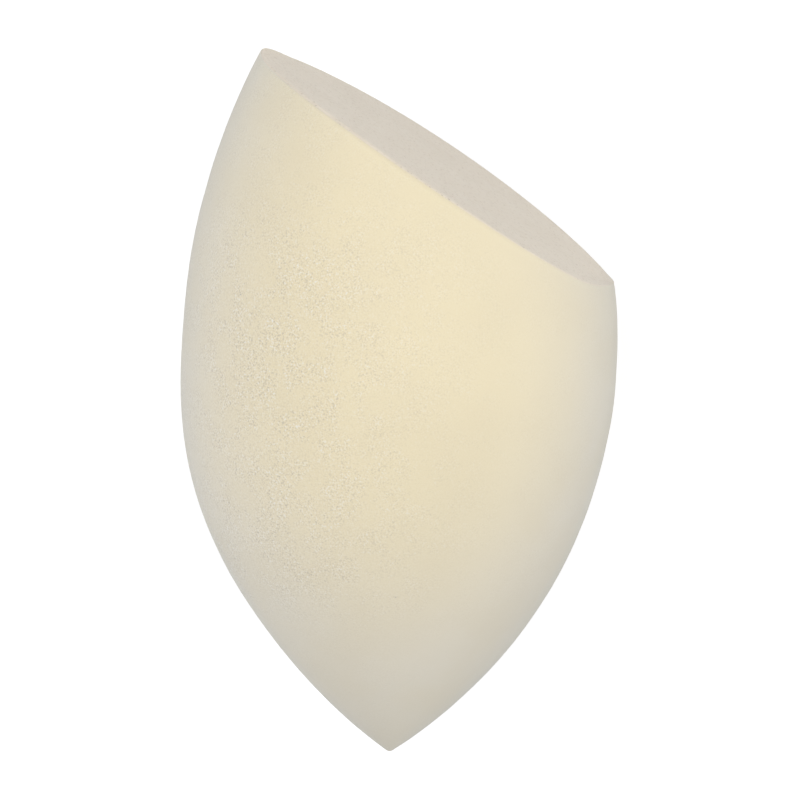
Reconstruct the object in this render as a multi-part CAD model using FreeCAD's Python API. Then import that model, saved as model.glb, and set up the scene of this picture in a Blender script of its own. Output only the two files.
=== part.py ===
import FreeCAD, Part
import math
import os

# Makeup sponge: a teardrop of foam, moulded to a point at one end and sliced off at a slant at the other.
# It lies on its side, with the tip towards -Y and the slanted cut towards +Y, leaning to +X.
# The teardrop is drawn standing on its tip, with its axis along Y, and then laid down.

# Driving dimensions, in millimetres and degrees
BELLY_DIAMETER = 40.0      # widest ring of the teardrop
BELLY_HEIGHT = 35.7        # along the axis, from the point of the tip to the widest ring
CROWN_RADIUS = 63.6        # arc of the outline above the widest ring
TIP_ANGLE = 110.7          # angle between the flanks where they run into the tip
TIP_RADIUS = 0.5           # rounding of the tip
BEVEL_HEIGHT = 56.4        # along the axis, from the point of the tip to the slanted cut
BEVEL_ANGLE = 32.6         # lean of the cut from square to the axis
RIM_RADIUS = 0.3           # softened edge round the cut
SKIN_THICKNESS = 0.5       # closed skin that the foam forms against its mould
ROLL_ANGLE = 10.4          # turn about its own axis at rest, which lifts the cut face to view
DROOP_ANGLE = 5.3          # tip-down lean of the axis at rest
REST_FLAT_DEPTH = 0.5      # how far the underside flattens where the sponge lies
CUT_OVERRUN = 10.0         # how far a cutting block reaches past the teardrop

# Sizes that follow from them
BELLY_RADIUS = BELLY_DIAMETER / 2
TIP_HALF_ANGLE = math.radians(TIP_ANGLE) / 2
CROWN_SETBACK = CROWN_RADIUS - BELLY_RADIUS
CROWN_HEIGHT = BELLY_HEIGHT + math.sqrt(CROWN_RADIUS ** 2 - CROWN_SETBACK ** 2)
CUT_REACH = CROWN_HEIGHT + CUT_OVERRUN

ORIGIN = FreeCAD.Vector(0, 0, 0)
SIDEWAYS = FreeCAD.Vector(1, 0, 0)
ALONG_AXIS = FreeCAD.Vector(0, 1, 0)
UPWARDS = FreeCAD.Vector(0, 0, 1)


def lower_arcs():
    """The flank's and the shoulder's arc, each as a centre and a radius, and the point where they meet.

    The flank leaves the point of the tip at half the tip's angle, the shoulder runs straight up at the
    widest ring, and the two share a tangent, with tangent legs of one length on either side of it.
    """
    belly = FreeCAD.Vector(BELLY_RADIUS, BELLY_HEIGHT, 0)
    flank_way = FreeCAD.Vector(math.sin(TIP_HALF_ANGLE), math.cos(TIP_HALF_ANGLE), 0)
    inwards = FreeCAD.Vector(-flank_way.y, flank_way.x, 0)
    turn = 2 * (1 - flank_way.dot(ALONG_AXIS))
    reach = belly.dot(flank_way + ALONG_AXIS)
    leg = (math.sqrt(reach ** 2 + turn * belly.dot(belly)) - reach) / turn
    joint = (flank_way * leg + belly - ALONG_AXIS * leg) / 2
    drop = joint - belly
    flank_radius = joint.dot(joint) / (2 * joint.dot(inwards))
    shoulder_radius = drop.dot(drop) / (-2 * drop.dot(SIDEWAYS))
    flank = (inwards * flank_radius, flank_radius)
    shoulder = (belly - SIDEWAYS * shoulder_radius, shoulder_radius)
    return flank, shoulder, joint


def arc_about(centre, start, end):
    """The short arc about a centre, from one point to another."""
    radius = (start - centre).Length
    middle = (start + end) / 2 - centre
    return Part.Arc(start, centre + middle.normalize() * radius, end).toShape()


def height_on_axis(circle, inset):
    """Where a circle of the outline, drawn in by inset, crosses the axis on its tip side."""
    centre, radius = circle
    return centre.y - math.sqrt((radius - inset) ** 2 - centre.x ** 2)


def outline_above(start, inset):
    """Flank, shoulder and crown of the half outline, drawn in by inset, from a start on the flank."""
    flank, shoulder, joint = lower_arcs()
    flank_centre, flank_radius = flank
    crown_centre = FreeCAD.Vector(-CROWN_SETBACK, BELLY_HEIGHT, 0)
    meeting = flank_centre + (joint - flank_centre) * ((flank_radius - inset) / flank_radius)
    belly = FreeCAD.Vector(BELLY_RADIUS - inset, BELLY_HEIGHT, 0)
    top_height = BELLY_HEIGHT + math.sqrt((CROWN_RADIUS - inset) ** 2 - CROWN_SETBACK ** 2)
    top = FreeCAD.Vector(0, top_height, 0)
    flank_arc = arc_about(flank_centre, start, meeting)
    shoulder_arc = arc_about(shoulder[0], meeting, belly)
    crown_arc = arc_about(crown_centre, belly, top)
    return [flank_arc, shoulder_arc, crown_arc], top


def turned(edges, top, bottom):
    """The solid that a half outline sweeps round the teardrop's axis."""
    axis_line = Part.LineSegment(top, bottom).toShape()
    profile = Part.Face(Part.Wire(edges + [axis_line]))
    return profile.revolve(ORIGIN, ALONG_AXIS, 360)


def whole_teardrop():
    """The moulded form before it is sliced, with its rounded tip."""
    flank = lower_arcs()[0]
    tip_centre = FreeCAD.Vector(0, height_on_axis(flank, TIP_RADIUS), 0)
    tip_end = tip_centre - ALONG_AXIS * TIP_RADIUS
    to_tip = tip_centre - flank[0]
    tip_start = flank[0] + to_tip.normalize() * flank[1]
    edges, top = outline_above(tip_start, 0)
    return turned([arc_about(tip_centre, tip_end, tip_start)] + edges, top, tip_end)


def space_in_skin():
    """What the skin surrounds: the teardrop drawn in all round by the skin's thickness."""
    bottom = FreeCAD.Vector(0, height_on_axis(lower_arcs()[0], SKIN_THICKNESS), 0)
    edges, top = outline_above(bottom, SKIN_THICKNESS)
    return turned(edges, top, bottom)


def block_beyond(point, normal):
    """A block that fills the far side of a plane, further than the teardrop reaches."""
    corner = FreeCAD.Vector(-CUT_REACH, -CUT_REACH, 0)
    block = Part.makeBox(2 * CUT_REACH, 2 * CUT_REACH, 2 * CUT_REACH, corner)
    block.Placement = FreeCAD.Placement(point, FreeCAD.Rotation(UPWARDS, normal))
    return block


def sliced(teardrop):
    """The teardrop with its crown sliced off at a slant and the rim of the cut softened."""
    lean = math.radians(BEVEL_ANGLE)
    cut_normal = FreeCAD.Vector(math.sin(lean), math.cos(lean), 0)
    body = teardrop.cut(block_beyond(ALONG_AXIS * BEVEL_HEIGHT, cut_normal))
    cut_face = next(face for face in body.Faces if isinstance(face.Surface, Part.Plane))
    return body.makeFillet(RIM_RADIUS, cut_face.OuterWire.Edges)


def laid_down(shape):
    """A shape rolled about the teardrop's axis and tipped down towards the tip, as the sponge lies."""
    rolled = shape.rotated(ORIGIN, ALONG_AXIS, -ROLL_ANGLE)
    return rolled.rotated(ORIGIN, SIDEWAYS, DROOP_ANGLE)


def flattened(shape, level):
    """A shape with its underside taken off flat at a level."""
    return shape.cut(block_beyond(UPWARDS * level, -UPWARDS))


def at_rest():
    """The sliced sponge and the space in its skin, lying on the ground with the origin under the middle."""
    sponge = laid_down(sliced(whole_teardrop()))
    inside = laid_down(space_in_skin())
    lift = UPWARDS * -(sponge.optimalBoundingBox(False, False).ZMin + REST_FLAT_DEPTH)
    sponge = flattened(sponge.translated(lift), 0)
    inside = flattened(inside.translated(lift), SKIN_THICKNESS)
    box = sponge.optimalBoundingBox(False, False)
    to_middle = FreeCAD.Vector(-box.Center.x, -box.Center.y, 0)
    return sponge.translated(to_middle), inside.translated(to_middle)


def moulded_skin(sponge, inside):
    """The closed skin round the foam, open where the cut went through it."""
    return sponge.cut(inside).Solids[0]


def foam_core(sponge, inside):
    """The open foam that fills the skin and shows, flush with it, at the cut."""
    return sponge.common(inside).Solids[0]


def build():
    """Write one file for each piece."""
    sponge, inside = at_rest()
    os.makedirs("parts", exist_ok=True)
    moulded_skin(sponge, inside).exportStep("parts/moulded_skin.step")
    foam_core(sponge, inside).exportStep("parts/foam_core.step")


build()
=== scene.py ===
"""Makeup sponge: a teardrop of cream foam with a closed skin, sliced off at a slant to bare its open core.

Sizes are in millimetres and degrees, as on the real sponge, and turn into metres where a mesh or the studio is
made. The teardrop is drawn standing on its tip, with its axis along +Y, and is then laid down in the frame.
"""

import logging
import math
from dataclasses import dataclass, field
from enum import Enum

import bpy
import numpy as np
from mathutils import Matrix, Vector, noise


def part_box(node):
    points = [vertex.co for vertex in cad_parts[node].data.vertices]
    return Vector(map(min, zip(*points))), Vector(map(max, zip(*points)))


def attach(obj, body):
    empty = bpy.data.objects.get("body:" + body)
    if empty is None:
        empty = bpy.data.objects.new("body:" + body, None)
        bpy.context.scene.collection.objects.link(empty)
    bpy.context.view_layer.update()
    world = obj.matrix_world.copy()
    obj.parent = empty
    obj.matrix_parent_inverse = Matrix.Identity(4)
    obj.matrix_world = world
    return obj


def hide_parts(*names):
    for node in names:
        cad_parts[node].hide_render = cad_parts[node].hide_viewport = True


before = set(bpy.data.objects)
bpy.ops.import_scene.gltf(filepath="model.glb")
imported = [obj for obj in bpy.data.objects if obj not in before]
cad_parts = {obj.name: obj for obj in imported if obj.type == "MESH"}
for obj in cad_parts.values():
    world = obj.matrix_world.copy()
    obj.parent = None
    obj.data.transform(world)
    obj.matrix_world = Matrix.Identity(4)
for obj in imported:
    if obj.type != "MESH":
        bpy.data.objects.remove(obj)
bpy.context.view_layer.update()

LOG = logging.getLogger("makeup_sponge")
MM = 0.001
BODY = "root"
HALVINGS = 40
Colour = tuple[float, float, float]
Feed = bpy.types.NodeSocket | float | tuple


class Node(str, Enum):
    """The solids of the frame that the scene's pieces stand for."""

    SKIN = "moulded_skin"
    CORE = "foam_core"


class Slot(str, Enum):
    """The record's material slots."""

    SKIN = "foam_skin"
    CUT = "foam_cut"


class Op(str, Enum):
    """The sums that a material's nodes do."""

    LESS = "SUBTRACT"
    TIMES = "MULTIPLY"
    UNDER = "LESS_THAN"
    MOST = "MAXIMUM"


class Axis(str, Enum):
    """The frame's axes: across the lying sponge, along it and up."""

    ACROSS = "X"
    ALONG = "Y"
    UP = "Z"


@dataclass(frozen=True)
class Arc:
    """One arc of the half outline, in the plane of distance from the axis and height along it.

    Attributes:
        centre: Centre, as distance from the axis and height.
        radius: Radius of the arc.
        start: Angle at which it starts, in radians from straight out.
        end: Angle at which it ends.
    """

    centre: tuple[float, float]
    radius: float
    start: float
    end: float

    def points(self, angle: np.ndarray) -> np.ndarray:
        """Points of the arc's circle.

        Args:
            angle: Angles on the circle, in radians.

        Returns:
            Distance from the axis and height, in a last dimension of two.
        """
        across = self.centre[0] + self.radius * np.cos(angle)
        along = self.centre[1] + self.radius * np.sin(angle)
        return np.stack([across, along], axis=-1)

    def steps(self, count: int) -> np.ndarray:
        """Points at even steps along the arc, without its first one.

        Args:
            count: How many steps.

        Returns:
            The points, one row each.
        """
        return self.points(np.linspace(self.start, self.end, count + 1)[1:])


def eased(value: np.ndarray, start: float, end: float) -> np.ndarray:
    """A smooth rise from 0 to 1.

    Args:
        value: Where it is asked for.
        start: Where it is still 0.
        end: Where it has reached 1.

    Returns:
        The share of the rise at each value.
    """
    share = np.clip((value - start) / (end - start), 0.0, 1.0)
    return share * share * (3 - 2 * share)


@dataclass(frozen=True)
class TeardropForm:
    """The sponge's shape: outline of the teardrop, slanted cut, rim, skin and how it lies.

    Attributes:
        belly_diameter: Widest ring of the teardrop.
        belly_height: From the point of the tip to the widest ring.
        crown_radius: Arc of the outline above the widest ring.
        tip_angle: Angle between the flanks where they run into the tip.
        tip_radius: Rounding of the tip.
        cut_height: Where the cut crosses the axis.
        cut_angle: Lean of the cut from square to the axis.
        cut_bow: How much the blade's path hangs through, as a parabola's factor per millimetre.
        cut_middle: Middle of the cut along X.
        cut_reach: From there to either end of the cut.
        flick: How far the foam stands up at those ends, where the blade went in and came out.
        flick_length: How long the stretch is that stands up.
        rim_radius: Softened edge of the cut where the sponge is held and rubbed, on its upper side.
        rim_lean: How much more it is softened towards the short side of the cut, as a share.
        rim_onset: How slowly it softens from the ends of the cut upwards, as a power.
        rim_sharpness: Softening of the same edge where it is still fresh, at the ends and below.
        skin_thickness: Closed skin round the foam.
        roll_angle: Turn about its own axis at rest.
        droop_angle: Tip-down lean of the axis at rest.
        rest_depth: How far the underside flattens where the sponge lies.
        rest_softness: How gradually the flattened patch runs into the round of the belly.
        sway: How far the soft teardrop sways from side to side along its axis.
        sway_length: Height from sway to sway.
        sway_peak: Height of a sway's furthest point towards +X.
        sway_end: Height at which the sway has died away.
        swell: How far the flank bulges under the low end of the cut.
        swell_start: Height at which the bulge starts.
        swell_end: Height at which it is full.
    """

    belly_diameter: float = 40.0
    belly_height: float = 35.7
    crown_radius: float = 63.6
    tip_angle: float = 110.7
    tip_radius: float = 0.5
    cut_height: float = 56.77
    cut_angle: float = 32.1
    cut_bow: float = 0.0029
    cut_middle: float = 2.93
    cut_reach: float = 16.31
    flick: float = 0.45
    flick_length: float = 1.8
    rim_radius: float = 1.2
    rim_lean: float = 0.45
    rim_onset: float = 1.5
    rim_sharpness: float = 0.06
    skin_thickness: float = 0.5
    roll_angle: float = 9.6
    droop_angle: float = 5.3
    rest_depth: float = 0.5
    rest_softness: float = 0.08
    sway: float = 0.144
    sway_length: float = 32.75
    sway_peak: float = 39.94
    sway_end: float = 52.0
    swell: float = 0.165
    swell_start: float = 34.5
    swell_end: float = 43.0

    @property
    def belly_radius(self) -> float:
        """Half the widest ring."""
        return self.belly_diameter / 2

    def lower_arcs(self, inset: float) -> tuple[Arc, Arc]:
        """The flank's and the shoulder's arc, which share a tangent with legs of one length on either side.

        Args:
            inset: How far the outline is drawn in.

        Returns:
            The flank, from the axis up, and the shoulder, up to the widest ring.
        """
        half = math.radians(self.tip_angle) / 2
        belly = Vector((self.belly_radius, self.belly_height))
        up = Vector((0.0, 1.0))
        flank_way = Vector((math.sin(half), math.cos(half)))
        inwards = Vector((-flank_way.y, flank_way.x))
        turn = 2 * (1 - flank_way.dot(up))
        reach = belly.dot(flank_way + up)
        leg = (math.sqrt(reach ** 2 + turn * belly.dot(belly)) - reach) / turn
        joint = (flank_way * leg + belly - up * leg) / 2
        drop = joint - belly
        flank_radius = joint.dot(joint) / (2 * joint.dot(inwards))
        shoulder_radius = drop.dot(drop) / (-2 * drop.x)
        centre = inwards * flank_radius
        to_joint = joint - centre
        meeting = math.atan2(to_joint.y, to_joint.x)
        at_axis = -math.acos(-centre.x / (flank_radius - inset))
        flank = Arc((centre.x, centre.y), flank_radius - inset, at_axis, meeting)
        shoulder_centre = (self.belly_radius - shoulder_radius, self.belly_height)
        shoulder = Arc(shoulder_centre, shoulder_radius - inset, meeting, 0.0)
        return flank, shoulder

    def tip_arcs(self) -> tuple[Arc, Arc]:
        """The rounding of the tip and the flank above it.

        Returns:
            The tip's arc from the axis, and the flank cut short where the tip's arc meets it.
        """
        flank = self.lower_arcs(0.0)[0]
        across, along = flank.centre
        tip_height = along - math.sqrt((flank.radius - self.tip_radius) ** 2 - across ** 2)
        start = math.atan2(tip_height - along, -across)
        tip = Arc((0.0, tip_height), self.tip_radius, -math.pi / 2, start)
        return tip, Arc(flank.centre, flank.radius, start, flank.end)

    def crown(self) -> Arc:
        """The arc above the widest ring, drawn to well past the cut."""
        centre = (self.belly_radius - self.crown_radius, self.belly_height)
        return Arc(centre, self.crown_radius, 0.0, math.pi / 4)

    def cut_level(self, across: np.ndarray) -> np.ndarray:
        """Height of the cut along the axis.

        Args:
            across: Place along X, down the slant.

        Returns:
            The cut's height at each place.
        """
        slope = math.tan(math.radians(self.cut_angle))
        level = self.cut_height - slope * across - self.cut_bow * across ** 2
        return level + self.flick * self.end_share(across) ** 2

    def end_share(self, across: np.ndarray) -> np.ndarray:
        """How far into the last stretch of the cut a place lies.

        Args:
            across: Place along X.

        Returns:
            0 over most of the cut, and from there up to 1 at either end.
        """
        return np.maximum(1 - (self.cut_reach - np.abs(across - self.cut_middle)) / self.flick_length, 0.0)

    def cut_slope(self, radius: np.ndarray, turn: np.ndarray) -> np.ndarray:
        """Rise of the cut per millimetre away from the axis.

        Args:
            radius: Distance from the axis.
            turn: Angle round the axis, in radians from +X.

        Returns:
            The rise in each direction.
        """
        across = radius * np.cos(turn)
        rise = -math.tan(math.radians(self.cut_angle)) - 2 * self.cut_bow * across
        outward = np.sign(across - self.cut_middle) / self.flick_length
        return np.cos(turn) * (rise + 2 * self.flick * self.end_share(across) * outward)

    def crown_end(self, turn: np.ndarray) -> np.ndarray:
        """Where the crown's arc meets the cut, found by halving.

        Args:
            turn: Angles round the axis.

        Returns:
            The angle on the crown's circle for each turn.
        """
        crown = self.crown()
        low = np.zeros_like(turn)
        high = np.full_like(turn, crown.end)
        for _ in range(HALVINGS):
            middle = (low + high) / 2
            place = crown.points(middle)
            above = place[:, 1] > self.cut_level(place[:, 0] * np.cos(turn))
            high = np.where(above, middle, high)
            low = np.where(above, low, middle)
        return (low + high) / 2

    def rim(self, turn: np.ndarray) -> np.ndarray:
        """Radius of the softened edge round the cut.

        Args:
            turn: Angles round the axis.

        Returns:
            The radius in each direction, largest on the upper side.
        """
        upward = np.maximum(np.sin(turn), 0.0) ** self.rim_onset
        worn = upward * (1 + self.rim_lean * np.cos(turn))
        return self.rim_sharpness + (self.rim_radius - self.rim_sharpness) * worn

    def out_of_true(self, points: np.ndarray) -> np.ndarray:
        """How far soft foam strays sideways from a true turned teardrop.

        Args:
            points: Places in the standing teardrop's own frame.

        Returns:
            The stray along X at each place.
        """
        across, along = points[..., 0], points[..., 1]
        sway = self.sway * np.cos(2 * math.pi * (along - self.sway_peak) / self.sway_length)
        sway *= 1 - eased(along, self.sway_peak, self.sway_end)
        bulge = self.swell * eased(along, self.swell_start, self.swell_end)
        return sway + bulge * (np.maximum(across, 0.0) / self.belly_radius) ** 2

    def lay(self, points: np.ndarray) -> np.ndarray:
        """Rolls points about the axis and tips them down towards the tip, as the sponge lies.

        Args:
            points: Places in the standing teardrop's own frame.

        Returns:
            The places after both turns, not yet moved to the frame's origin.
        """
        strayed = np.array(points)
        strayed[..., 0] += self.out_of_true(points)
        return self.turned(strayed)

    def turned(self, points: np.ndarray) -> np.ndarray:
        """The roll and the lean alone.

        Args:
            points: Places or directions in the standing teardrop's own frame.

        Returns:
            The same after both turns.
        """
        roll = math.radians(self.roll_angle)
        droop = math.radians(self.droop_angle)
        x = points[..., 0] * math.cos(roll) - points[..., 2] * math.sin(roll)
        z = points[..., 0] * math.sin(roll) + points[..., 2] * math.cos(roll)
        y = points[..., 1] * math.cos(droop) - z * math.sin(droop)
        z = points[..., 1] * math.sin(droop) + z * math.cos(droop)
        return np.stack([x, y, z], axis=-1)

    def press(self, height: np.ndarray, level: float) -> np.ndarray:
        """Flattens what hangs below a level, as the sponge's weight does on a table.

        Args:
            height: Heights over the table.
            level: Height of the flat patch.

        Returns:
            The heights with the underside pressed flat and run in softly.
        """
        over = height - level
        return level + (over + np.sqrt(over ** 2 + 4 * self.rest_softness ** 2)) / 2


@dataclass(frozen=True)
class Wave:
    """One scale of unevenness on the foam's surface.

    Attributes:
        length: Distance from swell to swell.
        height: How far it stands in or out.
        seed: Shift of the pattern.
    """

    length: float
    height: float
    seed: float

    def at(self, place: np.ndarray) -> float:
        """Height of the swell at a place."""
        shifted = Vector(place / self.length) + Vector((self.seed, self.seed, self.seed))
        return self.height * noise.noise(shifted)


@dataclass
class SpongeMesh:
    """Rings of the sponge's surface, from one end of the teardrop's axis to the other, as one closed mesh.

    Attributes:
        form: The sponge's shape.
        around: Points in each ring.
        waves: Unevenness of the surface.
        tip_steps: Rings over the rounded tip.
        flank_steps: Rings over the flank.
        shoulder_steps: Rings over the shoulder.
        crown_steps: Rings over the crown, up to the softened rim.
        rim_steps: Rings over the softened rim.
        rim_share: How many of these belong to the skin.
        wall_steps: Rings on each arc of the face between skin and core.
        cut_steps: Rings from the rim to the middle of the cut.
        fade_steps: Rings over which the waves come up from the rim.
    """

    form: TeardropForm
    around: int = 400
    waves: tuple[Wave, ...] = ()
    tip_steps: int = 5
    flank_steps: int = 78
    shoulder_steps: int = 52
    crown_steps: int = 62
    rim_steps: int = 8
    rim_share: int = 4
    wall_steps: int = 8
    cut_steps: int = 64
    fade_steps: int = 8

    @property
    def turn(self) -> np.ndarray:
        """Angles of the points in a ring."""
        return np.arange(self.around) * (2 * math.pi / self.around)

    def ring(self, radius: np.ndarray, height: np.ndarray) -> np.ndarray:
        """One ring round the axis.

        Args:
            radius: Distance from the axis, for each point or for all.
            height: Height along the axis, likewise.

        Returns:
            The ring's points in the standing teardrop's frame.
        """
        radius = np.broadcast_to(radius, self.turn.shape)
        height = np.broadcast_to(height, self.turn.shape)
        return np.stack([radius * np.cos(self.turn), height, radius * np.sin(self.turn)], axis=-1)

    def rim_bend(self) -> tuple[np.ndarray, np.ndarray]:
        """How the surface bends over the rim in each direction round the axis.

        Returns:
            Where the crown meets the cut, as angles on the crown's circle, and the angle of the bend.
        """
        end = self.form.crown_end(self.turn)
        radius = self.form.crown().points(end)[:, 0]
        up = np.stack([-np.sin(end), np.cos(end)], axis=-1)
        inward = np.stack([-np.ones_like(end), -self.form.cut_slope(radius, self.turn)], axis=-1)
        inward /= np.linalg.norm(inward, axis=-1, keepdims=True)
        return end, np.arccos((up * inward).sum(axis=-1))

    def rim_facing(self, share: float) -> np.ndarray:
        """Directions that the softened rim faces, in the plane of distance from the axis and height.

        Args:
            share: How far over the rim, from 0 at the crown to 1 at the cut.

        Returns:
            One direction for each point of a ring.
        """
        end, bend = self.rim_bend()
        return np.stack([np.cos(end + bend * share), np.sin(end + bend * share)], axis=-1)

    def rim_rings(self) -> tuple[np.ndarray, list[np.ndarray]]:
        """The softened rim, an arc from the crown to the cut in each direction round the axis.

        Returns:
            Where the crown's arc ends for it, as angles on the crown's circle, and the rim's rings after that.
        """
        crown = self.form.crown()
        end, bend = self.rim_bend()
        radius = self.form.rim(self.turn)[:, None]
        setback = radius[:, 0] * np.tan(bend / 2)
        up = np.stack([-np.sin(end), np.cos(end)], axis=-1)
        middle = crown.points(end) - up * setback[:, None] - radius * self.rim_facing(0.0)
        rings = []
        for share in np.linspace(0, 1, self.rim_steps + 1)[1:]:
            place = middle + radius * self.rim_facing(share)
            rings.append(self.ring(place[:, 0], place[:, 1]))
        return end - setback / crown.radius, rings

    def seam_facing(self) -> np.ndarray:
        """Directions that the rim faces where skin and core meet, so that both are shaded alike there.

        Returns:
            One direction for each point of the ring, as the sponge lies.
        """
        facing = self.rim_facing(self.rim_share / self.rim_steps)
        return self.form.turned(self.ring(facing[:, 0], facing[:, 1]))

    def outer_rings(self) -> list[np.ndarray]:
        """Rings over the skin, from the tip to the start of the softened rim.

        Returns:
            The rings in order.
        """
        tip, flank = self.form.tip_arcs()
        shoulder = self.form.lower_arcs(0.0)[1]
        places = [tip.steps(self.tip_steps), flank.steps(self.flank_steps)]
        places.append(shoulder.steps(self.shoulder_steps))
        rings = [self.ring(radius, height) for radius, height in np.concatenate(places)]
        rim_start = self.rim_rings()[0]
        for share in np.linspace(0, 1, self.crown_steps + 1)[1:]:
            place = self.form.crown().points(rim_start * share)
            rings.append(self.ring(place[:, 0], place[:, 1]))
        return rings

    def inner_rings(self) -> list[np.ndarray]:
        """Rings over the face between skin and core, from the tip to where the skin thins out under the rim.

        Returns:
            The rings in order.
        """
        inset = self.form.skin_thickness
        flank, shoulder = self.form.lower_arcs(inset)
        places = np.concatenate([flank.steps(self.wall_steps), shoulder.steps(self.wall_steps)])
        rings = [self.ring(radius, height) for radius, height in places]
        rim_start = self.rim_rings()[0]
        crown = self.form.crown()
        for share in np.linspace(0, 1, self.wall_steps + 1)[1:-1]:
            angle = rim_start * share
            place = crown.points(angle)
            rings.append(self.ring(place[:, 0] - inset * np.cos(angle), place[:, 1] - inset * np.sin(angle)))
        return rings

    def cut_rings(self) -> list[np.ndarray]:
        """Rings over the cut, from the softened rim in to the axis.

        Returns:
            The rings in order, without the rim's own and without the middle.
        """
        edge = self.rim_rings()[1][-1]
        radius = np.hypot(edge[:, 0], edge[:, 2])
        rings = []
        for share in np.linspace(1, 0, self.cut_steps + 1)[1:-1]:
            rings.append(self.ring(radius * share, self.form.cut_level(radius * share * np.cos(self.turn))))
        return rings

    def fade(self, rings: int) -> np.ndarray:
        """How strongly the waves show on rings that start at the rim, where skin and core meet evenly."""
        return np.minimum(np.arange(rings) / self.fade_steps, 1.0)

    def on_axis(self, height: float) -> np.ndarray:
        """A point on the axis."""
        return np.array([[0.0, height, 0.0]])

    def inner_tip(self) -> np.ndarray:
        """The point of the tip inside the skin."""
        flank = self.form.lower_arcs(self.form.skin_thickness)[0]
        return self.on_axis(float(flank.points(np.array(flank.start))[1]))

    def outer_tip(self) -> np.ndarray:
        """The outermost point of the tip."""
        tip = self.form.tip_arcs()[0]
        return self.on_axis(tip.centre[1] - tip.radius)

    def origin(self) -> np.ndarray:
        """How far the laid teardrop moves to lie where the frame has it.

        Returns:
            The move, from the frame's skin: its middle across, its tip and its highest point.
        """
        low, high = (np.array(corner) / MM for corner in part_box(Node.SKIN.value))
        laid = self.form.lay(np.concatenate([self.outer_tip(), *self.outer_rings()]))
        middle = (laid[:, 0].min() + laid[:, 0].max()) / 2
        across = (low[0] + high[0]) / 2 - middle
        return np.array([across, low[1] - laid[:, 1].min(), high[2] - laid[:, 2].max()])

    def faces(self, rings: int) -> list[tuple[int, ...]]:
        """Faces between rings, closed by a point at either end.

        Args:
            rings: How many rings lie between the two end points.

        Returns:
            Vertex numbers of each face: the first end point, the rings in order, the last end point.
        """
        last = 1 + rings * self.around
        made: list[tuple[int, ...]] = []
        for place in range(self.around):
            after = (place + 1) % self.around
            made.append((0, 1 + place, 1 + after))
            made.append((last, last - self.around + after, last - self.around + place))
        for ring in range(rings - 1):
            low = 1 + ring * self.around
            high = low + self.around
            for place in range(self.around):
                after = (place + 1) % self.around
                made.append((low + place, high + place, high + after, low + after))
        return made

    def normals(self, mesh: bpy.types.Mesh) -> np.ndarray:
        """Directions that a mesh faces, one for each of its points."""
        return np.array([vertex.normal for vertex in mesh.vertices])

    def make(
        self, name: str, points: list[np.ndarray], level: np.ndarray, uneven: np.ndarray, seam: int
    ) -> bpy.types.Object:
        """Makes a closed piece of a first point, rings and a last point.

        Args:
            name: Name of the piece.
            points: The first point, the rings and the last point, standing.
            level: Height of the flat underside, for each point.
            uneven: How strongly the waves move each point.
            seam: Number of the first point in the ring where skin and core meet.

        Returns:
            The piece, in metres, in the frame's place.
        """
        placed = self.form.lay(np.concatenate(points)) + self.origin()
        mesh = bpy.data.meshes.new(name)
        mesh.from_pydata((placed * MM).tolist(), [], self.faces(len(points) - 2))
        mesh.update()
        swell = np.array([sum(wave.at(place) for wave in self.waves) for place in placed])
        placed += self.normals(mesh) * (swell * uneven)[:, None]
        placed[:, 2] = self.form.press(placed[:, 2], level)
        mesh.vertices.foreach_set("co", (placed * MM).astype(np.float32).ravel())
        mesh.polygons.foreach_set("use_smooth", [True] * len(mesh.polygons))
        mesh.update()
        normals = self.normals(mesh)
        normals[seam:seam + self.around] = self.seam_facing()
        mesh.normals_split_custom_set_from_vertices(normals.tolist())
        piece = bpy.data.objects.new(name, mesh)
        bpy.context.scene.collection.objects.link(piece)
        return piece


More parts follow.
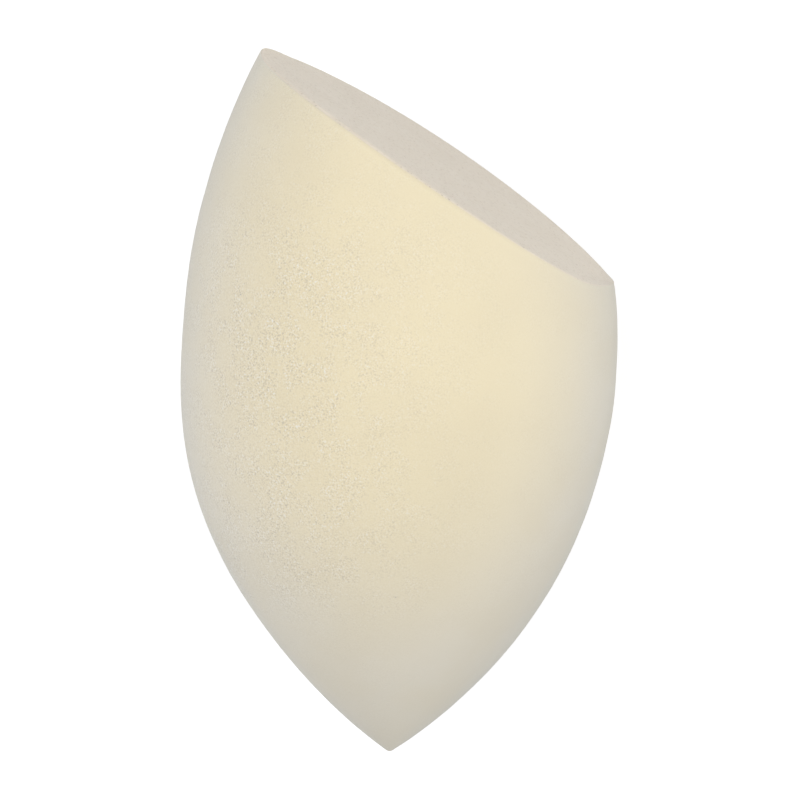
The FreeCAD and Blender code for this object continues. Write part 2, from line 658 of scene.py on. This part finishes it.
class NodeSheet:
    """A material whose nodes are added and wired one step at a time."""

    def __init__(self, name: str) -> None:
        """Starts a material with its shader.

        Args:
            name: Name of the material.
        """
        self.material = bpy.data.materials.new(name)
        self.material.use_nodes = True
        self.tree = self.material.node_tree
        self.shader = self.tree.nodes["Principled BSDF"]
        place = self.tree.nodes.new("ShaderNodeTexCoord").outputs["Object"]
        scale = self.tree.nodes.new("ShaderNodeVectorMath")
        scale.operation = "SCALE"
        scale.inputs["Scale"].default_value = 1 / MM
        self.tree.links.new(place, scale.inputs[0])
        self.place = scale.outputs["Vector"]
        self.parts = self.tree.nodes.new("ShaderNodeSeparateXYZ")
        self.tree.links.new(self.place, self.parts.inputs["Vector"])

    def feed(self, socket: bpy.types.NodeSocket, value: Feed) -> None:
        """Gives a socket a value or another node's output.

        Args:
            socket: The socket to feed.
            value: A number, a colour or a vector, or an output to wire.
        """
        if isinstance(value, bpy.types.NodeSocket):
            self.tree.links.new(value, socket)
        else:
            socket.default_value = value

    def sum(self, op: Op, first: Feed, second: Feed) -> bpy.types.NodeSocket:
        """A sum of two values.

        Args:
            op: What the sum does.
            first: First value.
            second: Second value.

        Returns:
            The result's socket.
        """
        node = self.tree.nodes.new("ShaderNodeMath")
        node.operation = op.value
        self.feed(node.inputs[0], first)
        self.feed(node.inputs[1], second)
        return node.outputs["Value"]

    def range(self, value: Feed, ends: tuple[float, float], onto: tuple[float, float]) -> bpy.types.NodeSocket:
        """A value eased from one range onto another.

        Args:
            value: The value.
            ends: Where its range starts and ends.
            onto: What these become.

        Returns:
            The result's socket, held between the new ends.
        """
        node = self.tree.nodes.new("ShaderNodeMapRange")
        node.interpolation_type = "SMOOTHSTEP"
        self.feed(node.inputs["Value"], value)
        node.inputs["From Min"].default_value, node.inputs["From Max"].default_value = ends
        node.inputs["To Min"].default_value, node.inputs["To Max"].default_value = onto
        return node.outputs["Result"]

    def cloud(self, size: float, detail: float, shift: float = 0.0) -> bpy.types.NodeSocket:
        """Soft noise.

        Args:
            size: Distance from one cloud to the next.
            detail: How many finer layers it has.
            shift: Moves the pattern.

        Returns:
            The noise's socket, mostly between 0.25 and 0.75.
        """
        node = self.tree.nodes.new("ShaderNodeTexNoise")
        node.noise_dimensions = "4D"
        node.inputs["W"].default_value = shift
        node.inputs["Scale"].default_value = 1 / size
        node.inputs["Detail"].default_value = detail
        self.feed(node.inputs["Vector"], self.place)
        return node.outputs["Fac"]

    def cells(self, size: float) -> bpy.types.Node:
        """Foam cells.

        Args:
            size: Distance from one cell to the next.

        Returns:
            The node.
        """
        node = self.tree.nodes.new("ShaderNodeTexVoronoi")
        node.inputs["Scale"].default_value = 1 / size
        self.feed(node.inputs["Vector"], self.place)
        return node

    def mix(self, share: Feed, first: Feed, second: Feed) -> bpy.types.NodeSocket:
        """A mix of two colours.

        Args:
            share: Share of the second.
            first: First colour.
            second: Second colour.

        Returns:
            The mixed colour's socket.
        """
        node = self.tree.nodes.new("ShaderNodeMix")
        node.data_type = "RGBA"
        sockets = {socket.identifier: socket for socket in node.inputs}
        self.feed(sockets["Factor_Float"], share)
        self.feed(sockets["A_Color"], first if isinstance(first, bpy.types.NodeSocket) else (*first, 1.0))
        self.feed(sockets["B_Color"], second if isinstance(second, bpy.types.NodeSocket) else (*second, 1.0))
        return next(socket for socket in node.outputs if socket.identifier == "Result_Color")


@dataclass(frozen=True)
class Fade:
    """How a look comes up along one axis of the frame.

    Attributes:
        axis: The axis.
        start: Place where the look is least.
        end: Place from which it is full.
        least: What is left of it before the start.
    """

    axis: Axis
    start: float
    end: float
    least: float = 0.0

    def at(self, sheet: NodeSheet) -> bpy.types.NodeSocket:
        """The look's share at each place."""
        return sheet.range(sheet.parts.outputs[self.axis.value], (self.start, self.end), (self.least, 1.0))


# Values of a noise pattern between which each look comes up
DARK_CLOUDS = (0.7, 0.3)
# The grain's hollows take painted shade and its crests painted highlights between these values
GRAIN_HOLLOW_SHADE = (0.5, 0.28)
GRAIN_CREST_HIGHLIGHTS = (0.52, 0.72)
GRAIN_LOW_TO_HIGH = (0.3, 0.7)
GRAINY_PATCHES = (0.36, 0.62)
# How strong the grain is between its patches and in them
PATCH_STRENGTHS = (0.35, 1.0)
# Finer layers of each noise pattern, and shifts that keep the patterns apart
CLOUD_DETAIL = 3.0
GRAIN_DETAIL = 1.0
GRAIN_SHIFT = 4.0
PATCH_DETAIL = 2.0
PATCH_SHIFT = 9.0
# Share of a pore's radius over which it is at its deepest
PORE_FLOOR = 0.5


@dataclass(frozen=True, kw_only=True)
class FoamFinish:
    """How one kind of foam looks.

    Attributes:
        name: Name of the material.
        colour: Its colour on the upper side, where warm light is painted into it.
        shaded_flank_colour: Its colour on the flanks and below; on the skin it is paler and greyer, as painted
            shade.
        shade: Its colour in the darker clouds.
        crest_highlight_colour: Its colour on the grain's crests, a painted highlight.
        pit_shade_colour: Its colour in the grain's hollows and in the pores, which is painted shade.
        lit_top_fade: How the upper side's colour, with its painted warm light, comes up.
        sheen: How much light its fine fibres catch at a slant.
        sheen_tint: Colour of that sheen.
        sheen_spread: Roughness of that sheen.
        shine: Specular level.
        roughness: Roughness of the surface, in the grain's hollows and on its crests.
        cloud_size: Size of the clouds.
        cloud_share: How strongly they shade it.
        grain_size: Size of the grain.
        grain_depth: How deep the grain is.
        pit_shade_share: How strongly the grain's hollows are darker with painted shade.
        crest_highlight_share: How strongly its crests are lighter with painted highlights.
        grain_fades: Where the grain shows, if it doesn't show all over.
        patch_size: Size of the patches in which the grain is stronger.
        pore_spacing: Distance from pore to pore, if each cell had one.
        pore_size: Radius of a pore.
        pore_share: Share of the cells that have one.
    """

    name: str
    colour: Colour
    shaded_flank_colour: Colour
    shade: Colour
    crest_highlight_colour: Colour
    pit_shade_colour: Colour
    lit_top_fade: Fade = Fade(Axis.UP, start=26.0, end=39.6)
    sheen: float
    sheen_tint: Colour = (0.80, 0.88, 0.98)
    sheen_spread: float = 0.6
    shine: float = 0.1
    roughness: tuple[float, float]
    cloud_size: float
    cloud_share: float = 0.3
    grain_size: float
    grain_depth: float
    pit_shade_share: float
    crest_highlight_share: float
    grain_fades: tuple[Fade, ...] = ()
    patch_size: float
    pore_spacing: float
    pore_size: float
    pore_share: float

    def pores(self, sheet: NodeSheet) -> bpy.types.NodeSocket:
        """Where the pores are.

        Args:
            sheet: The material.

        Returns:
            Up to 1 in a pore, less in a shallow one, and 0 beside it.
        """
        cells = sheet.cells(self.pore_spacing)
        near = self.pore_size / self.pore_spacing
        hole = sheet.range(cells.outputs["Distance"], (near * PORE_FLOOR, near), (1.0, 0.0))
        chance = sheet.tree.nodes.new("ShaderNodeSeparateColor")
        sheet.feed(chance.inputs["Color"], cells.outputs["Color"])
        hole = sheet.sum(Op.TIMES, hole, chance.outputs["Green"])
        return sheet.sum(Op.TIMES, hole, sheet.sum(Op.UNDER, chance.outputs["Red"], self.pore_share))

    def grain_strength(self, sheet: NodeSheet) -> bpy.types.NodeSocket:
        """How strongly the grain shows, in its bump and in its painted shade and highlights.

        Args:
            sheet: The material.

        Returns:
            Its strength, in soft patches and within its fades.
        """
        patches = sheet.cloud(self.patch_size, PATCH_DETAIL, PATCH_SHIFT)
        strength = sheet.range(patches, GRAINY_PATCHES, PATCH_STRENGTHS)
        for fade in self.grain_fades:
            strength = sheet.sum(Op.TIMES, strength, fade.at(sheet))
        return strength

    def material(self) -> bpy.types.Material:
        """Makes the material.

        Returns:
            Clouds and grain in its colour and roughness, with painted warm light on the upper side, painted
            shade in the grain's hollows and in the pores and painted highlights on the grain's crests; pores,
            a fine bump and a sheen.
        """
        sheet = NodeSheet(self.name)
        shader = sheet.shader.inputs
        clouds = sheet.range(sheet.cloud(self.cloud_size, CLOUD_DETAIL), DARK_CLOUDS, (0.0, self.cloud_share))
        grain = sheet.cloud(self.grain_size, GRAIN_DETAIL, GRAIN_SHIFT)
        strength = self.grain_strength(sheet)
        painted_pit_shade = sheet.sum(Op.TIMES, sheet.range(grain, GRAIN_HOLLOW_SHADE, (0.0, self.pit_shade_share)), strength)
        painted_crest_highlights = sheet.sum(Op.TIMES, sheet.range(grain, GRAIN_CREST_HIGHLIGHTS, (0.0, self.crest_highlight_share)), strength)
        pores = self.pores(sheet)
        # Painted light: the upper side is a warmer cream and the flanks and underside a paler, greyer one, for
        # how light and shade fall on them.
        colour = sheet.mix(self.lit_top_fade.at(sheet), self.shaded_flank_colour, self.colour)
        colour = sheet.mix(clouds, colour, self.shade)
        # Painted highlights on the grain's crests.
        colour = sheet.mix(painted_crest_highlights, colour, self.crest_highlight_colour)
        # Painted shade in the grain's hollows and in the pores.
        for hollow in (painted_pit_shade, pores):
            colour = sheet.mix(hollow, colour, self.pit_shade_colour)
        sheet.feed(shader["Base Color"], colour)
        sheet.feed(shader["Roughness"], sheet.range(grain, GRAIN_LOW_TO_HIGH, self.roughness))
        shader["Specular IOR Level"].default_value = self.shine
        shader["Sheen Weight"].default_value = self.sheen
        shader["Sheen Roughness"].default_value = self.sheen_spread
        shader["Sheen Tint"].default_value = (*self.sheen_tint, 1.0)
        bump = sheet.tree.nodes.new("ShaderNodeBump")
        bump.inputs["Distance"].default_value = self.grain_depth * MM
        sheet.feed(bump.inputs["Height"], sheet.sum(Op.LESS, sheet.sum(Op.TIMES, grain, strength), pores))
        sheet.feed(shader["Normal"], bump.outputs["Normal"])
        return sheet.material


SKIN_FINISH = FoamFinish(
    name="moulded foam skin",
    # Painted light: a warmer upper side and paler, greyer flanks and underside.
    colour=(0.915, 0.805, 0.558),
    shaded_flank_colour=(0.867, 0.802, 0.662),
    shade=(0.830, 0.730, 0.520),
    # Painted highlights on the grain's crests and painted shade in its hollows and pores.
    crest_highlight_colour=(0.97, 0.93, 0.85),
    pit_shade_colour=(0.52, 0.455, 0.38),
    sheen=0.5,
    roughness=(0.95, 0.85),
    cloud_size=7.0,
    grain_size=0.16,
    grain_depth=0.055,
    pit_shade_share=0.55,
    crest_highlight_share=1.0,
    # The grain, with its bump and its painted shade and highlights, is strongest on the -X flank, where the
    # light rakes across it.
    grain_fades=(
        Fade(Axis.ACROSS, start=11.0, end=-13.0, least=0.13),
        Fade(Axis.ACROSS, start=-20.0, end=-15.0, least=0.6),
        Fade(Axis.ALONG, start=-22.0, end=-15.0, least=0.2),
        Fade(Axis.ALONG, start=20.0, end=10.0, least=0.4),
    ),
    patch_size=2.0,
    pore_spacing=2.4,
    pore_size=0.09,
    pore_share=0.1,
)

CUT_FINISH = FoamFinish(
    name="cut open foam",
    colour=(0.930, 0.826, 0.678),
    shaded_flank_colour=(0.930, 0.826, 0.678),
    shade=(0.86, 0.745, 0.59),
    # Painted highlights on the cut's grain and painted shade in its hollows and open pores.
    crest_highlight_colour=(0.95, 0.86, 0.73),
    pit_shade_colour=(0.72, 0.61, 0.47),
    sheen=0.3,
    roughness=(1.0, 0.9),
    cloud_size=5.0,
    grain_size=0.28,
    grain_depth=0.05,
    pit_shade_share=0.25,
    crest_highlight_share=0.3,
    patch_size=4.0,
    pore_spacing=0.36,
    pore_size=0.13,
    pore_share=0.8,
)


@dataclass
class SpongeSkin:
    """The closed skin that the foam forms against its mould.

    Attributes:
        form: The sponge's shape.
        finish: Look of the skin.
        waves: Unevenness of the moulded surface.
    """

    form: TeardropForm
    finish: FoamFinish = SKIN_FINISH
    waves: tuple[Wave, ...] = (
        Wave(length=11.0, height=0.05, seed=3.1),
        Wave(length=3.2, height=0.02, seed=17.4),
        Wave(length=1.1, height=0.008, seed=41.9),
    )

    def build(self) -> bpy.types.Object:
        """Builds the skin as a closed wall that thins out in the softened rim.

        Returns:
            The piece.
        """
        mesh = SpongeMesh(self.form, waves=self.waves)
        outer = mesh.outer_rings() + mesh.rim_rings()[1][:mesh.rim_share]
        inner = mesh.inner_rings()[::-1]
        points = [mesh.outer_tip(), *outer, *inner, mesh.inner_tip()]
        outside = 1 + len(outer) * mesh.around
        inside = 1 + len(inner) * mesh.around
        level = np.concatenate([np.zeros(outside), np.full(inside, self.form.skin_thickness)])
        fade = mesh.fade(len(outer))[::-1]
        uneven = np.concatenate([[1.0], np.repeat(fade, mesh.around), np.zeros(inside)])
        return mesh.make("sponge_skin", points, level, uneven, outside - mesh.around)

    def dress(self, piece: bpy.types.Object) -> None:
        """Gives the skin its finish and its place in the frame."""
        place_in_frame(piece, Node.SKIN, self.finish)


@dataclass
class SpongeCore:
    """The open foam inside the skin, bared by the slanted cut.

    Attributes:
        form: The sponge's shape.
        finish: Look of the cut foam.
        waves: Unevenness that the blade leaves.
    """

    form: TeardropForm
    finish: FoamFinish = CUT_FINISH
    waves: tuple[Wave, ...] = (
        Wave(length=9.0, height=0.04, seed=8.3),
        Wave(length=1.3, height=0.02, seed=23.7),
    )

    def build(self) -> bpy.types.Object:
        """Builds the core as a closed body with the cut face and the inner half of the softened rim on it.

        Returns:
            The piece.
        """
        mesh = SpongeMesh(self.form, waves=self.waves)
        inner = mesh.inner_rings()
        bare = mesh.rim_rings()[1][mesh.rim_share - 1:] + mesh.cut_rings()
        points = [mesh.inner_tip(), *inner, *bare, mesh.on_axis(self.form.cut_height)]
        hidden = 1 + len(inner) * mesh.around
        shown = 1 + len(bare) * mesh.around
        level = np.concatenate([np.full(hidden, self.form.skin_thickness), np.zeros(shown)])
        uneven = np.concatenate([np.zeros(hidden), np.repeat(mesh.fade(len(bare)), mesh.around), [1.0]])
        return mesh.make("sponge_core", points, level, uneven, hidden)

    def dress(self, piece: bpy.types.Object) -> None:
        """Gives the core its finish and its place in the frame."""
        place_in_frame(piece, Node.CORE, self.finish)


def place_in_frame(piece: bpy.types.Object, node: Node, finish: FoamFinish) -> None:
    """Dresses a foam piece and ties it to the frame.

    Args:
        piece: The piece.
        node: The solid it stands for.
        finish: Its look.
    """
    piece.data.materials.append(finish.material())
    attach(piece, BODY)
    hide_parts(node.value)
    LOG.info("%s: %d faces, for %s", piece.name, len(piece.data.polygons), node.value)


@dataclass(frozen=True)
class SoftLamp:
    """A round soft lamp that faces the sponge.

    Attributes:
        name: Its name.
        level: Brightness that it adds on a surface square to it.
        turn: Where it stands round the sponge, in degrees from +X.
        rise: How high it stands, in degrees over the table.
        distance: Its distance from the sponge.
        width: Its width.
    """

    name: str
    level: float
    turn: float
    rise: float
    distance: float = 900.0
    width: float = 700.0

    def way(self) -> Vector:
        """Direction from the sponge to the lamp."""
        turn, rise = math.radians(self.turn), math.radians(self.rise)
        return Vector((math.cos(turn) * math.cos(rise), math.sin(turn) * math.cos(rise), math.sin(rise)))

    def build(self) -> bpy.types.Light:
        """Makes the lamp's light.

        Returns:
            The light, whose power follows from its level and distance.
        """
        light = bpy.data.lights.new(self.name, "AREA")
        light.shape = "DISK"
        light.size = self.width * MM
        light.energy = self.level * (math.pi * self.distance * MM) ** 2
        return light


LAMPS = (
    SoftLamp("lamp above left", level=0.379, turn=156.0, rise=62.0),
    SoftLamp("lamp right", level=0.483, turn=0.0, rise=34.0),
    SoftLamp("lamp behind right", level=0.262, turn=60.0, rise=12.0),
    SoftLamp("lamp left", level=0.298, turn=172.0, rise=12.0),
    SoftLamp("lamp in front", level=0.174, turn=248.0, rise=42.0),
)


@dataclass
class Studio:
    """Plain floor, soft lamps all round and the camera straight above the lying sponge.

    Attributes:
        form: The sponge's shape, which the camera is set over.
        camera_distance: Height of the camera over the middle of the sponge.
        picture_width: Width of the picture at that middle.
        picture_turn: Turn of the picture, in degrees.
        picture_shift: From the middle of the sponge to the middle of the picture.
        middle_share: Where on the axis that middle is, as a share of the belly's height.
        sensor: Width of the camera's sensor.
        floor_size: Width of the floor.
        floor_drop: How far the floor lies under the sponge's flat underside.
        floor_colour: Colour of the floor, which sets how much light it throws back up.
        floor_glow: What it adds to the camera's eye alone, so that it shows white beyond the shadow.
        world_level: Brightness of the surroundings on the sponge, which show white themselves.
        lamps: The lamps.
        made: What has been added to the scene so far.
    """

    form: TeardropForm
    camera_distance: float = 450.0
    picture_width: float = 73.55
    picture_turn: float = 1.24
    picture_shift: tuple[float, float] = (0.292, 0.589)
    middle_share: float = 0.9
    sensor: float = 36.0
    floor_size: float = 4000.0
    floor_drop: float = 0.02
    floor_colour: Colour = (0.4, 0.4, 0.4)
    floor_glow: float = 0.76
    world_level: float = 0.22
    lamps: tuple[SoftLamp, ...] = LAMPS
    made: list[bpy.types.Object] = field(default_factory=list)

    def middle(self) -> np.ndarray:
        """The point on the axis that the camera is set over, in the frame."""
        mesh = SpongeMesh(self.form)
        laid = self.form.lay(mesh.on_axis(self.form.belly_height * self.middle_share))
        return laid[0] + mesh.origin()

    def add(self, name: str, data: bpy.types.ID) -> bpy.types.Object:
        """Adds an object to the scene.

        Args:
            name: Its name.
            data: Its mesh, lamp or camera.

        Returns:
            The object.
        """
        made = bpy.data.objects.new(name, data)
        bpy.context.scene.collection.objects.link(made)
        self.made.append(made)
        return made

    def set_camera(self) -> None:
        """Sets the camera straight over the sponge, as the photograph was taken."""
        camera = bpy.data.cameras.new("camera")
        camera.sensor_width = self.sensor
        camera.lens = self.sensor * self.camera_distance / self.picture_width
        holder = self.add("camera", camera)
        across, along = self.picture_shift
        place = self.middle() + np.array([across, along, self.camera_distance])
        holder.location = Vector(place * MM)
        holder.rotation_euler = (0.0, 0.0, math.radians(self.picture_turn))
        bpy.context.scene.camera = holder

    def seen(self, tree: bpy.types.NodeTree) -> bpy.types.NodeSocket:
        """1 for what the camera sees, itself or in a gloss or a glass, and 0 for light on the sponge.

        Args:
            tree: The nodes to add to.

        Returns:
            The socket.
        """
        path = tree.nodes.new("ShaderNodeLightPath")
        result = path.outputs["Is Camera Ray"]
        for ray in ("Is Glossy Ray", "Is Transmission Ray"):
            most = tree.nodes.new("ShaderNodeMath")
            most.operation = Op.MOST.value
            tree.links.new(result, most.inputs[0])
            tree.links.new(path.outputs[ray], most.inputs[1])
            result = most.outputs["Value"]
        return result

    def lay_floor(self) -> None:
        """Lays the floor, which takes the sponge's shadow and shows white beyond it."""
        half = self.floor_size / 2
        corners = [(-half, -half), (half, -half), (half, half), (-half, half)]
        mesh = bpy.data.meshes.new("floor")
        mesh.from_pydata([(x * MM, y * MM, -self.floor_drop * MM) for x, y in corners], [], [(0, 1, 2, 3)])
        material = bpy.data.materials.new("floor white")
        material.use_nodes = True
        tree = material.node_tree
        tree.nodes.clear()
        paint = tree.nodes.new("ShaderNodeBsdfDiffuse")
        paint.inputs["Color"].default_value = (*self.floor_colour, 1.0)
        glow = tree.nodes.new("ShaderNodeEmission")
        strength = tree.nodes.new("ShaderNodeMath")
        strength.operation = Op.TIMES.value
        strength.inputs[1].default_value = self.floor_glow
        both = tree.nodes.new("ShaderNodeAddShader")
        output = tree.nodes.new("ShaderNodeOutputMaterial")
        tree.links.new(self.seen(tree), strength.inputs[0])
        tree.links.new(strength.outputs["Value"], glow.inputs["Strength"])
        tree.links.new(paint.outputs["BSDF"], both.inputs[0])
        tree.links.new(glow.outputs["Emission"], both.inputs[1])
        tree.links.new(both.outputs["Shader"], output.inputs["Surface"])
        mesh.materials.append(material)
        self.add("floor", mesh)

    def light(self) -> None:
        """Sets the even surroundings and the soft lamps."""
        scene = bpy.context.scene
        world = bpy.data.worlds.new("white room")
        world.use_nodes = True
        tree = world.node_tree
        sky = tree.nodes["Background"]
        level = tree.nodes.new("ShaderNodeMapRange")
        level.inputs["To Min"].default_value = self.world_level
        level.inputs["To Max"].default_value = 1.0
        sky.inputs["Color"].default_value = (1.0, 1.0, 1.0, 1.0)
        tree.links.new(self.seen(tree), level.inputs["Value"])
        tree.links.new(level.outputs["Result"], sky.inputs["Strength"])
        scene.world = world
        for lamp in self.lamps:
            holder = self.add(lamp.name, lamp.build())
            holder.location = Vector(self.middle() * MM) + lamp.way() * lamp.distance * MM
            holder.rotation_euler = lamp.way().to_track_quat("Z", "Y").to_euler()

    def build(self) -> None:
        """Builds the floor, the light and the camera."""
        bpy.context.scene.view_settings.view_transform = "Standard"
        self.lay_floor()
        self.light()
        self.set_camera()
        LOG.info("studio: %s", ", ".join(made.name for made in self.made))


def keep_sizes() -> None:
    bpy.context.view_layer.update()


def main() -> None:
    """Builds the sponge's two foams and the studio, and reports each piece."""
    logging.basicConfig(level=logging.INFO, format="%(name)s: %(message)s")
    form = TeardropForm()
    for foam in (SpongeSkin(form), SpongeCore(form)):
        foam.dress(foam.build())
    Studio(form).build()
    keep_sizes()


if __name__ == "__main__":
    main()
